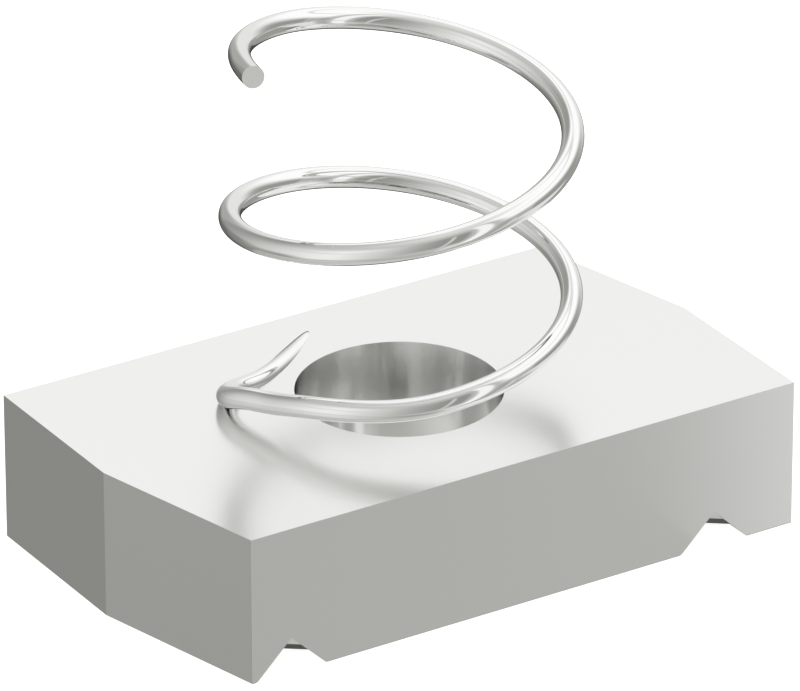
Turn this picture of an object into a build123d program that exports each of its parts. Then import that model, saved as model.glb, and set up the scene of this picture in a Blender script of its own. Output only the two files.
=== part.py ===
"""Strut spring nut: a steel channel nut with the coil spring that holds it up in the channel.

Frame: origin at the centre of the underside, on the axis of the bore. X runs along the nut, across
the channel, Y runs along the channel, Z points up through the coil. Millimetres.
"""
from build123d import *
from math import cos, pi, radians, sin
import os

# ---- nut ----
nut_length = 34.5        # across the channel, inside its 36 mm
nut_width = 20.0         # passes the 22 mm slot of the channel
nut_thickness = 8.0
corner_cut_length = 2.5  # how far each turning corner is cut back, over half of the width
bore_diameter = 10.6     # tapping size
# ---- grooves for the two lips of the channel ----
groove_distance = 25.0   # between the middles of the two grooves
groove_width = 4.0       # at the underside
groove_depth = 1.95
groove_rim_radius = 0.3
tooth_count = 5          # anti-slip teeth across each groove
tooth_thickness = 1.8    # measured square to the tooth
tooth_bevel_width = 0.6  # 45 degree bevel along both sides of the crest
tooth_angle = -37.0      # from X, so that the teeth bite as the nut is turned into place
tooth_end_margin = 2.02  # plain groove before the first tooth, along the middle of the groove
tooth_recess_depth = 0.12    # how far the crest stays inside the groove
# ---- spring ----
wire_diameter = 1.15
coil_radius = 8.58           # of the wire's centre line
coil_offset_x = 0.87         # the bent-in foot holds the coil a little off the bore's axis
coil_offset_y = 1.21
coil_start_angle = 250.0     # where the foot runs into the helix
coil_start_height = 2.63     # over the nut's top face, as are all heights of the spring
coil_end_angle = 810.0       # where the closing quarter turn begins
spring_top_angle = 900.0     # the cut upper end
spring_top_height = 18.72    # of the wire's centre at the cut upper end
closing_radius = 8.08        # the closing quarter turn pulls in to this, half way
cut_end_radius = 8.54        # and ends at this
cut_end_flare = 16.0         # turned outwards by this many degrees
socket_clearance = 0.02      # between the wire and its socket in the nut
# the points the foot is bent through: radius in coil radii, angle, height in wire diameters
foot_points = [
    (0.843, 96.9, -0.560),   # the end of the tail, just below the surface
    (0.744, 114.3, -0.420),
    (0.744, 136.6, -0.252),  # the tail, let into the top face
    (0.880, 154.6, -0.050),
    (1.055, 165.2, 0.320),
    (1.098, 171.0, 0.590),   # the bend, where the wire rests on the nut
    (1.068, 179.0, 0.970),
    (1.019, 188.5, 1.190),
    (1.000, 202.5, 1.565),   # from here the wire keeps to the coil's own circle
    (1.000, 224.0, 1.920),
]

wire_radius = wire_diameter / 2
half_length, half_width = nut_length / 2, nut_width / 2
coil_rise = spring_top_height - coil_start_height
coil_pitch = coil_rise * 360 / (spring_top_angle - coil_start_angle)


def coil_height(angle):
    """Height of the helix over the nut's top face."""
    return coil_start_height + coil_pitch * (angle - coil_start_angle) / 360


def on_coil(radius, angle, height):
    """A point given about the coil's own axis, its height over the nut's top face."""
    turn = radians(angle)
    return Vector(
        coil_offset_x + radius * cos(turn), coil_offset_y + radius * sin(turn), nut_thickness + height
    )


def run_along_helix(angle):
    """Direction of the wire in the helix."""
    turn = radians(angle)
    return Vector(-sin(turn), cos(turn), coil_pitch / (2 * pi * coil_radius)).normalized()


# ---- centre line of the wire: foot, helix, closing quarter turn ----
coil_axis = Axis((coil_offset_x, coil_offset_y, 0), (0, 0, 1))
coil = Helix(
    pitch=coil_pitch,
    height=coil_height(coil_end_angle) - coil_start_height,
    radius=coil_radius,
    center=(coil_offset_x, coil_offset_y, nut_thickness + coil_start_height),
).rotate(coil_axis, coil_start_angle)
closing_angle = (coil_end_angle + spring_top_angle) / 2
with BuildLine() as foot_line:
    bent_through = [
        on_coil(share * coil_radius, angle, wires * wire_diameter)
        for share, angle, wires in foot_points
    ]
    Spline(
        bent_through + [coil @ 0],
        tangents=[bent_through[1] - bent_through[0], run_along_helix(coil_start_angle)],
    )
with BuildLine() as closing_line:
    Spline(
        coil @ 1,
        on_coil(closing_radius, closing_angle, coil_height(closing_angle)),
        on_coil(cut_end_radius, spring_top_angle, spring_top_height),
        tangents=[run_along_helix(coil_end_angle), run_along_helix(spring_top_angle - cut_end_flare)],
    )
with BuildLine() as wire_line:
    add(foot_line.line)
    add(coil)
    add(closing_line.line)

with BuildPart() as spring:
    with BuildSketch(Plane(wire_line.line @ 0, z_dir=wire_line.line % 0)):
        Circle(wire_radius)
    sweep(path=wire_line.line)
spring.part.label = "spring"

# ---- void of one groove: a V along Y with rounded rims, less the teeth that cross it ----
tooth_reach = 3 * groove_width
tooth_along_groove = tooth_thickness / cos(radians(tooth_angle))
tooth_pitch = (nut_width - 2 * tooth_end_margin - tooth_along_groove) / (tooth_count - 1)
rim_reach = groove_width / 2 + groove_rim_radius
with BuildPart() as groove_void:
    with BuildSketch(Plane.XZ):
        Polygon(
            (-rim_reach, -groove_rim_radius),
            (rim_reach, -groove_rim_radius),
            (rim_reach, 0),
            (groove_width / 2, 0),
            (0, groove_depth),
            (-groove_width / 2, 0),
            (-rim_reach, 0),
            align=None,
        )
        rims = vertices().group_by(Axis.Y)[1].sort_by(Axis.X)[1:3]
        fillet(rims, groove_rim_radius)
    extrude(amount=half_width, both=True)
    with BuildSketch(Plane.XY.offset(tooth_recess_depth + tooth_bevel_width)) as tooth_row:
        with GridLocations(0, tooth_pitch, 1, tooth_count):
            Rectangle(tooth_reach, tooth_thickness, rotation=tooth_angle)
    extrude(amount=groove_depth, mode=Mode.SUBTRACT)
    extrude(tooth_row.sketch, amount=-tooth_bevel_width, taper=45, mode=Mode.SUBTRACT)

with BuildPart() as nut_body:
    with BuildSketch():
        Polygon(
            (half_length, -half_width),
            (half_length, 0),
            (half_length - corner_cut_length, half_width),
            (-half_length, half_width),
            (-half_length, 0),
            (-half_length + corner_cut_length, -half_width),
            align=None,
        )
    extrude(amount=nut_thickness)
    Hole(bore_diameter / 2)
    with PolarLocations(groove_distance / 2, 2):
        add(groove_void.part, mode=Mode.SUBTRACT)
    # socket of the foot: the run of the wire itself, with its clearance
    with BuildSketch(Plane(foot_line.line @ 0, z_dir=foot_line.line % 0)):
        Circle(wire_radius + socket_clearance)
    sweep(path=foot_line.line, mode=Mode.SUBTRACT)
nut_body.part.label = "nut_body"

os.makedirs("parts", exist_ok=True)
export_step(nut_body.part, "parts/nut_body.step")
export_step(spring.part, "parts/spring.step")
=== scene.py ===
"""Studio picture of the strut spring nut: plated steel nut and bright coil spring on a pale floor."""
import math

import bmesh
import bpy
import numpy as np
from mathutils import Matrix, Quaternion, Vector


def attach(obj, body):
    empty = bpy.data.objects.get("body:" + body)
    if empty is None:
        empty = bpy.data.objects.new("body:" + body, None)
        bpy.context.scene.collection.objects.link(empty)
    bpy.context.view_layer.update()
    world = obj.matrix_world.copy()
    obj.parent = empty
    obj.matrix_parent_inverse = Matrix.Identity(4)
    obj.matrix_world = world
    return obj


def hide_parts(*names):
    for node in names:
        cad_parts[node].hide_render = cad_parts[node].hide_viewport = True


MM = 0.001

# ---- camera: a long lens, from the front left and above ----
CAMERA_AT = Vector((-206.68, -331.71, 206.73)) * MM
CAMERA_AIM = Vector((0.03, -0.02, 10.44)) * MM
CAMERA_ROLL = -0.10      # degrees
CAMERA_LENS, CAMERA_SENSOR = 391.5, 36
CAMERA_REACH = (0.01, 10)            # metres

# ---- nut, in millimetres ----
HALF_LENGTH, HALF_WIDTH, CORNER_CUT = 17.25, 10.0, 2.5
NUT_TOP = 8.0
BORE_RADIUS = 5.3
EDGE_BEVEL = 0.06
SHARP_EDGE, SMOOTH_EDGE = 20, 30     # degrees: edges over the first are broken, under the second smooth
FLAT_ANGLE = 0.5                     # degrees: faces that meet at less are one flat face
MERGE, NEAR = 0.0005, 0.01           # millimetres: corners closer than the first are one corner

# ---- spring, in millimetres and degrees: the wire's centre line ----
WIRE_RADIUS = 0.575
COIL_RADIUS = 8.58
COIL_CENTRE = (0.87, 1.21)
START_ANGLE, END_ANGLE, TOP_ANGLE = 250.0, 810.0, 900.0
START_HEIGHT, TOP_HEIGHT = 2.63, 18.72
CLOSING_RADIUS, CUT_END_RADIUS, CUT_END_FLARE = 8.08, 8.54, 16.0
COIL_PITCH = (TOP_HEIGHT - START_HEIGHT) * 360 / (TOP_ANGLE - START_ANGLE)
FOOT_POINTS = [          # radius in coil radii, angle, height in wire diameters
    (0.843, 96.9, -0.560),
    (0.744, 114.3, -0.420),
    (0.744, 136.6, -0.252),
    (0.880, 154.6, -0.050),
    (1.055, 165.2, 0.320),
    (1.098, 171.0, 0.590),
    (1.068, 179.0, 0.970),
    (1.019, 188.5, 1.190),
    (1.000, 202.5, 1.565),
    (1.000, 224.0, 1.920),
]
WIRE_SIDES, FOOT_STEPS, HELIX_STEPS, CLOSING_STEPS = 48, 16, 420, 36

# ---- finishes: colour, roughness, how much that varies, how far turning marks draw the gloss out ----
FINISHES = {
    "plated_steel": ((0.88, 0.88, 0.87), 0.22, 0.03, 0.0),
    "bore_wall": ((0.84, 0.84, 0.83), 0.16, 0.03, 1.0),
    "spring_wire": ((0.95, 0.95, 0.95), 0.045, 0.01, 0.0),
    "cut_end": ((0.96, 0.96, 0.95), 0.65, 0.03, 0.0),
}
GRAIN_SCALE, GRAIN_TONE = 9000, 0.02

# ---- floor, in millimetres: a light table, pale and nearly free of shadow ----
FLOOR_SIZE, FLOOR_TONE, FLOOR_GLOW = 4000, 0.9, 0.75

# ---- bounce card, in millimetres: lies in front of the nut's right end, brighter to the right ----
CARD_MIDDLE, CARD_SIZE = (47, -45, 0.05), 70
CARD_FADE, CARD_SLANT, CARD_LEVEL = (6, 25), 0.625, 0.77

# ---- studio: soft boxes and dark flags all round, each a soft-edged patch of the surroundings ----
BASE_LEVEL, LOW_LEVEL, ZENITH_LEVEL = 0.52, 0.45, 0.72
LOW_SPAN, ZENITH_SPAN = (-60, -30), (50, 90)
DIM_TINT, BRIGHT_TINT = (0.985, 1.0, 0.915, 1), (1.0, 1.0, 0.995, 1)
# azimuth from +X towards +Y and elevation, in degrees: from, to, softness of each edge; then the level;
# each patch lies over those before it
PATCHES = {
    "left box": ((158, 212, 40, 28), (-34, 52, 10, 14), 0.90),
    "left box foot": ((124, 166, 8, 12), (-50, -20, 8, 10), 0.33),
    "back flag": ((73, 118, 4, 24), (-44, 46, 6, 8), 0.32),
    "back flag glow": ((70, 88, 3, 3), (-12, 20, 6, 8), 0.40),
    "back flag foot": ((76, 126, 4, 14), (-46, -8, 6, 6), 0.24),
    "back flag core": ((78, 100, 4, 8), (-42, -14, 5, 6), 0.15),
    "low shade": ((36, 80, 6, 6), (-72, -16, 5, 8), 0.06),
    "low glow": ((8, 28, 6, 6), (-66, -42, 6, 6), 0.60),
    "front flag": ((242, 274, 20, 3), (-22, 48, 10, 14), 0.30),
    "front strip foot": ((268, 284, 5, 5), (-58, -30, 6, 6), 0.70),
    "front strip": ((279, 289.5, 2, 2), (-40, 66, 6, 10), 0.95),
    "front gap": ((293.5, 303, 2, 3), (-45, 12, 4, 8), 0.39),
    "second strip": ((305, 317, 3, 3), (-45, 14, 6, 8), 0.44),
    "thin strip": ((306.5, 309, 0.8, 0.8), (-42, -8, 6, 6), 0.90),
    "right flag": ((319, 372, 3, 14), (-46, 30, 6, 6), 0.32),
    "right flag end": ((350, 398, 6, 4), (-38, -12, 6, 6), 0.33),
    "right flag foot": ((322, 350, 4, 6), (-56, -34, 6, 6), 0.24),
    "back box": ((383, 425, 12, 4), (-12, 40, 10, 6), 0.80),
    "overhead box": ((298, 438, 6, 8), (20, 72, 12, 14), 1.03),
    "overhead gap": ((304, 430, 8, 8), (44, 47, 1.5, 1.5), 0.74),
    "left box gap": ((150, 222, 14, 14), (20, 24, 2, 2), 0.64),
    "front line": ((261, 264, 1.2, 1.2), (-30, 40, 8, 8), 0.62),
}


def shade(tree, operation, *values):
    """Adds a math node; each value is a number or a socket. Returns its output."""
    made = tree.nodes.new("ShaderNodeMath")
    made.operation = operation
    for socket, value in zip(made.inputs, values):
        if isinstance(value, bpy.types.NodeSocket):
            tree.links.new(value, socket)
        else:
            socket.default_value = value
    return made.outputs[0]


def soft_step(tree, value, low, high, to_low, to_high):
    """A smooth step of value between low and high."""
    made = tree.nodes.new("ShaderNodeMapRange")
    made.interpolation_type = "SMOOTHSTEP"
    for name, number in (("From Min", low), ("From Max", high), ("To Min", to_low), ("To Max", to_high)):
        made.inputs[name].default_value = number
    tree.links.new(value, made.inputs["Value"])
    return made.outputs[0]


def patch_mask(tree, angle, span):
    """1 inside a span of degrees, 0 outside, with soft edges; angles wrap round."""
    start, end, soft_start, soft_end = span
    middle, half = (start + end) / 2, (end - start) / 2
    off = shade(tree, "WRAP", shade(tree, "SUBTRACT", angle, middle), 180, -180)
    rise = soft_step(tree, off, -half - soft_start, -half + soft_start, 0, 1)
    fall = soft_step(tree, off, half - soft_end, half + soft_end, 1, 0)
    return shade(tree, "MULTIPLY", rise, fall)


def studio():
    """The surroundings that the metal mirrors."""
    world = bpy.data.worlds.new("studio")
    world.use_nodes = True
    tree = world.node_tree
    coords = tree.nodes.new("ShaderNodeTexCoord")
    split = tree.nodes.new("ShaderNodeSeparateXYZ")
    tree.links.new(coords.outputs["Generated"], split.inputs[0])
    x, y, z = split.outputs
    azimuth = shade(tree, "DEGREES", shade(tree, "ARCTAN2", y, x))
    elevation = shade(tree, "DEGREES", shade(tree, "ARCSINE", z))
    low = soft_step(tree, elevation, *LOW_SPAN, LOW_LEVEL - BASE_LEVEL, 0)
    level = shade(tree, "ADD", low, soft_step(tree, elevation, *ZENITH_SPAN, BASE_LEVEL, ZENITH_LEVEL))
    for azimuths, elevations, value in PATCHES.values():
        mask = shade(
            tree, "MULTIPLY", patch_mask(tree, azimuth, azimuths), patch_mask(tree, elevation, elevations)
        )
        blend = tree.nodes.new("ShaderNodeMix")
        tree.links.new(mask, blend.inputs[0])
        tree.links.new(level, blend.inputs[2])
        blend.inputs[3].default_value = value
        level = blend.outputs[0]
    tint = tree.nodes.new("ShaderNodeMix")
    tint.data_type = "RGBA"
    tree.links.new(level, tint.inputs[0])
    tint.inputs[6].default_value, tint.inputs[7].default_value = DIM_TINT, BRIGHT_TINT
    background = tree.nodes["Background"]
    tree.links.new(tint.outputs[2], background.inputs["Color"])
    tree.links.new(level, background.inputs["Strength"])
    return world


def steel(name):
    """Steel whose gloss has a faint grain; turning marks run round Z and draw the gloss out along Z."""
    base, roughness, grain, turned = FINISHES[name]
    mat = bpy.data.materials.new(name)
    mat.use_nodes = True
    tree = mat.node_tree
    bsdf = tree.nodes["Principled BSDF"]
    coords = tree.nodes.new("ShaderNodeTexCoord")
    noise = tree.nodes.new("ShaderNodeTexNoise")
    noise.inputs["Scale"].default_value = GRAIN_SCALE
    noise.inputs["Detail"].default_value = 2
    tree.links.new(coords.outputs["Object"], noise.inputs["Vector"])
    spread = tree.nodes.new("ShaderNodeMapRange")
    for socket, number in (("To Min", roughness - grain), ("To Max", roughness + grain)):
        spread.inputs[socket].default_value = number
    tree.links.new(noise.outputs["Fac"], spread.inputs["Value"])
    tree.links.new(spread.outputs[0], bsdf.inputs["Roughness"])
    tone = tree.nodes.new("ShaderNodeMix")
    tone.data_type = "RGBA"
    tree.links.new(noise.outputs["Fac"], tone.inputs[0])
    tone.inputs[6].default_value = (*(c - GRAIN_TONE for c in base), 1)
    tone.inputs[7].default_value = (*(c + GRAIN_TONE for c in base), 1)
    tree.links.new(tone.outputs[2], bsdf.inputs["Base Color"])
    bsdf.inputs["Metallic"].default_value = 1.0
    if turned:
        round_z = tree.nodes.new("ShaderNodeTangent")
        round_z.direction_type, round_z.axis = "RADIAL", "Z"
        tree.links.new(round_z.outputs["Tangent"], bsdf.inputs["Tangent"])
        bsdf.inputs["Anisotropic"].default_value = turned
        bsdf.inputs["Anisotropic Rotation"].default_value = 0.25
    return mat


def coil_height(angle):
    """Height of the helix over the nut's top face."""
    return START_HEIGHT + COIL_PITCH * (angle - START_ANGLE) / 360


def on_coil(radius, angle, height):
    """A point round the coil's axis, height over the nut's top face."""
    turn = math.radians(angle)
    x, y = COIL_CENTRE
    return np.array([x + radius * math.cos(turn), y + radius * math.sin(turn), NUT_TOP + height])


def along_helix(angle):
    """The helix's direction at an angle."""
    turn = math.radians(angle)
    run = np.array([-math.sin(turn), math.cos(turn), COIL_PITCH / (2 * math.pi * COIL_RADIUS)])
    return run / np.linalg.norm(run)


def bent_through(points, start, end, steps):
    """A smooth curve through points with unit directions at its ends, sampled steps times a span."""
    points = np.array(points)
    gaps = np.linalg.norm(np.diff(points, axis=0), axis=1)
    count = len(points)
    matrix, wanted = np.eye(count), np.zeros((count, 3))
    wanted[0], wanted[-1] = start, end
    for i in range(1, count - 1):
        before, after = 1 / gaps[i - 1], 1 / gaps[i]
        matrix[i, i - 1 : i + 2] = before, 2 * (before + after), after
        wanted[i] = 3 * ((points[i] - points[i - 1]) * before**2 + (points[i + 1] - points[i]) * after**2)
    slopes = np.linalg.solve(matrix, wanted)
    line = []
    for i, gap in enumerate(gaps):
        for t in np.linspace(0, 1, steps, endpoint=False):
            line.append(
                (2 * t**3 - 3 * t**2 + 1) * points[i]
                + (t**3 - 2 * t**2 + t) * gap * slopes[i]
                + (3 * t**2 - 2 * t**3) * points[i + 1]
                + (t**3 - t**2) * gap * slopes[i + 1]
            )
    return line + [points[-1]]


def wire_line():
    """Centre line of the spring's wire, from the end of the tail to the cut end."""
    foot = [on_coil(share * COIL_RADIUS, a, wires * 2 * WIRE_RADIUS) for share, a, wires in FOOT_POINTS]
    first = on_coil(COIL_RADIUS, START_ANGLE, START_HEIGHT)
    into = foot[1] - foot[0]
    foot_line = bent_through(
        foot + [first], into / np.linalg.norm(into), along_helix(START_ANGLE), FOOT_STEPS
    )
    helix = [
        on_coil(COIL_RADIUS, a, coil_height(a))
        for a in np.linspace(START_ANGLE, END_ANGLE, HELIX_STEPS)[1:-1]
    ]
    middle = (END_ANGLE + TOP_ANGLE) / 2
    closing = bent_through(
        [
            on_coil(COIL_RADIUS, END_ANGLE, coil_height(END_ANGLE)),
            on_coil(CLOSING_RADIUS, middle, coil_height(middle)),
            on_coil(CUT_END_RADIUS, TOP_ANGLE, TOP_HEIGHT),
        ],
        along_helix(END_ANGLE),
        along_helix(TOP_ANGLE - CUT_END_FLARE),
        CLOSING_STEPS,
    )
    return np.array(foot_line + helix + closing)


def make_spring():
    """The wire: a round tube along its centre line, with flat cut ends."""
    line = wire_line()
    run = np.gradient(line, axis=0)
    run /= np.linalg.norm(run, axis=1)[:, None]
    side = np.cross(run, (0, 0, 1))
    side /= np.linalg.norm(side, axis=1)[:, None]
    over = np.cross(side, run)
    rounds = np.linspace(0, 2 * math.pi, WIRE_SIDES, endpoint=False)
    rings = line[:, None] + WIRE_RADIUS * (
        side[:, None] * np.cos(rounds)[None, :, None] + over[:, None] * np.sin(rounds)[None, :, None]
    )
    last = (len(line) - 1) * WIRE_SIDES
    faces = []
    for ring in range(0, last, WIRE_SIDES):
        for j in range(WIRE_SIDES):
            k = (j + 1) % WIRE_SIDES
            faces.append((ring + j, ring + k, ring + WIRE_SIDES + k, ring + WIRE_SIDES + j))
    caps = [tuple(reversed(range(WIRE_SIDES))), tuple(range(last, last + WIRE_SIDES))]
    mesh = bpy.data.meshes.new("spring_wire")
    mesh.from_pydata((rings.reshape(-1, 3) * MM).tolist(), [], faces + caps)
    made = bpy.data.objects.new("spring_wire", mesh)
    bpy.context.collection.objects.link(made)
    work = bmesh.new()
    work.from_mesh(mesh)
    bmesh.ops.recalc_face_normals(work, faces=work.faces)
    for face in work.faces:
        end = len(face.verts) > 4
        face.smooth = not end
        face.material_index = int(end)
        if end:
            for edge in face.edges:
                edge.smooth = False
    work.to_mesh(mesh)
    work.free()
    return made


def on_outline(point):
    """Whether a point lies on one of the nut's upright outer faces."""
    x, y = point.x / MM, point.y / MM
    cut = CORNER_CUT * max(0.0, y if x > 0 else -y) / HALF_WIDTH
    return abs(abs(y) - HALF_WIDTH) < NEAR or abs(abs(x) - (HALF_LENGTH - cut)) < NEAR


def off_bore(point):
    """How far a point lies from the bore's wall."""
    return abs(math.hypot(point.x, point.y) / MM - BORE_RADIUS)


def breaks(edge):
    """Whether an edge is one of those just broken: the nut's outer edges and the bore's rims."""
    a, b = (v.co for v in edge.verts)
    if len(edge.link_faces) != 2 or edge.calc_face_angle(0) < math.radians(SHARP_EDGE):
        return False
    outer = on_outline(a) and on_outline(b) and on_outline((a + b) / 2)
    low, high = sorted((a.z / MM, b.z / MM))
    in_groove = low > NEAR and high < NUT_TOP - NEAR and abs(a.x - b.x) > 0.1 * NEAR * MM
    return (outer and not in_groove) or max(off_bore(a), off_bore(b)) < 2 * NEAR


def make_nut(cad):
    """The nut's solid with outer edges and bore rims just broken, and the bore as its own finish."""
    mesh = cad.data.copy()
    mesh.materials.clear()
    made = bpy.data.objects.new("nut_plated", mesh)
    bpy.context.collection.objects.link(made)
    work = bmesh.new()
    work.from_mesh(mesh)
    bmesh.ops.remove_doubles(work, verts=work.verts, dist=MERGE * MM)
    bmesh.ops.dissolve_limit(work, angle_limit=math.radians(FLAT_ANGLE), verts=work.verts, edges=work.edges)
    broken = [edge for edge in work.edges if breaks(edge)]
    bmesh.ops.bevel(
        work,
        geom=broken,
        offset=EDGE_BEVEL * MM,
        segments=2,
        profile=0.5,
        affect="EDGES",
        clamp_overlap=True,
    )
    for face in work.faces:
        wall = all(off_bore(v.co) < 3 * NEAR for v in face.verts)
        face.smooth = wall
        face.material_index = int(wall and abs(face.normal.z) < 0.2)
    for edge in work.edges:
        edge.smooth = edge.calc_face_angle(0) < math.radians(SMOOTH_EDGE)
    work.to_mesh(mesh)
    work.free()
    if "custom_normal" in mesh.attributes:
        mesh.attributes.remove(mesh.attributes["custom_normal"])
    return made


def make_floor():
    """The light table; the metal doesn't mirror it."""
    bpy.ops.mesh.primitive_plane_add(size=FLOOR_SIZE * MM)
    floor = bpy.context.object
    floor.name = "floor"
    mat = bpy.data.materials.new("floor")
    mat.use_nodes = True
    bsdf = mat.node_tree.nodes["Principled BSDF"]
    bsdf.inputs["Base Color"].default_value = (FLOOR_TONE, FLOOR_TONE, FLOOR_TONE, 1)
    bsdf.inputs["Roughness"].default_value = 1.0
    bsdf.inputs["Emission Color"].default_value = (1, 1, 1, 1)
    bsdf.inputs["Emission Strength"].default_value = FLOOR_GLOW
    floor.data.materials.append(mat)
    floor.visible_glossy = False
    return floor


def make_card():
    """The bounce card, seen only in the metal; its glow fades out towards the left."""
    bpy.ops.mesh.primitive_plane_add(size=CARD_SIZE * MM, location=[v * MM for v in CARD_MIDDLE])
    card = bpy.context.object
    card.name = "bounce_card"
    mat = bpy.data.materials.new("bounce_card")
    mat.use_nodes = True
    tree = mat.node_tree
    tree.nodes.clear()
    coords = tree.nodes.new("ShaderNodeTexCoord")
    split = tree.nodes.new("ShaderNodeSeparateXYZ")
    tree.links.new(coords.outputs["Object"], split.inputs[0])
    across = shade(tree, "MULTIPLY_ADD", split.outputs[1], CARD_SLANT, split.outputs[0])
    shift = CARD_MIDDLE[0] + (CARD_MIDDLE[1] + HALF_WIDTH) * CARD_SLANT
    cover = soft_step(tree, across, (CARD_FADE[0] - shift) * MM, (CARD_FADE[1] - shift) * MM, 0, 1)
    clear = tree.nodes.new("ShaderNodeBsdfTransparent")
    glow = tree.nodes.new("ShaderNodeEmission")
    glow.inputs["Strength"].default_value = CARD_LEVEL
    both = tree.nodes.new("ShaderNodeMixShader")
    for socket, value in zip(both.inputs, (cover, clear.outputs[0], glow.outputs[0])):
        tree.links.new(value, socket)
    tree.links.new(both.outputs[0], tree.nodes.new("ShaderNodeOutputMaterial").inputs[0])
    card.data.materials.append(mat)
    card.visible_camera = card.visible_diffuse = card.visible_shadow = False
    return card


def make_camera():
    """The camera at the picture's angle."""
    data = bpy.data.cameras.new("camera")
    data.lens, data.sensor_width = CAMERA_LENS, CAMERA_SENSOR
    data.clip_start, data.clip_end = CAMERA_REACH
    camera = bpy.data.objects.new("camera", data)
    bpy.context.collection.objects.link(camera)
    camera.location = CAMERA_AT
    camera.rotation_mode = "QUATERNION"
    look = (CAMERA_AIM - CAMERA_AT).to_track_quat("-Z", "Y")
    camera.rotation_quaternion = look @ Quaternion((0, 0, 1), math.radians(CAMERA_ROLL))
    return camera


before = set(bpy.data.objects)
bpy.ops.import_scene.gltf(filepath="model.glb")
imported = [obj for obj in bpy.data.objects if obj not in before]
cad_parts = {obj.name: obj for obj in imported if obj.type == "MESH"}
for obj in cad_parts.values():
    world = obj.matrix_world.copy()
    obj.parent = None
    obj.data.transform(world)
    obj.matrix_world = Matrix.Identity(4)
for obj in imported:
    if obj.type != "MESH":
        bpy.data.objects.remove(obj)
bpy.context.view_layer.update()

nut = make_nut(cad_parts["nut_body"])
spring = make_spring()
for piece, node_name, finishes in (
    (nut, "nut_body", ("plated_steel", "bore_wall")),
    (spring, "spring", ("spring_wire", "cut_end")),
):
    for finish in finishes:
        piece.data.materials.append(steel(finish))
    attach(piece, "root")
    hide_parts(node_name)

make_floor()
make_card()
scene = bpy.context.scene
scene.world = studio()
scene.camera = make_camera()
scene.view_settings.view_transform = "Standard"
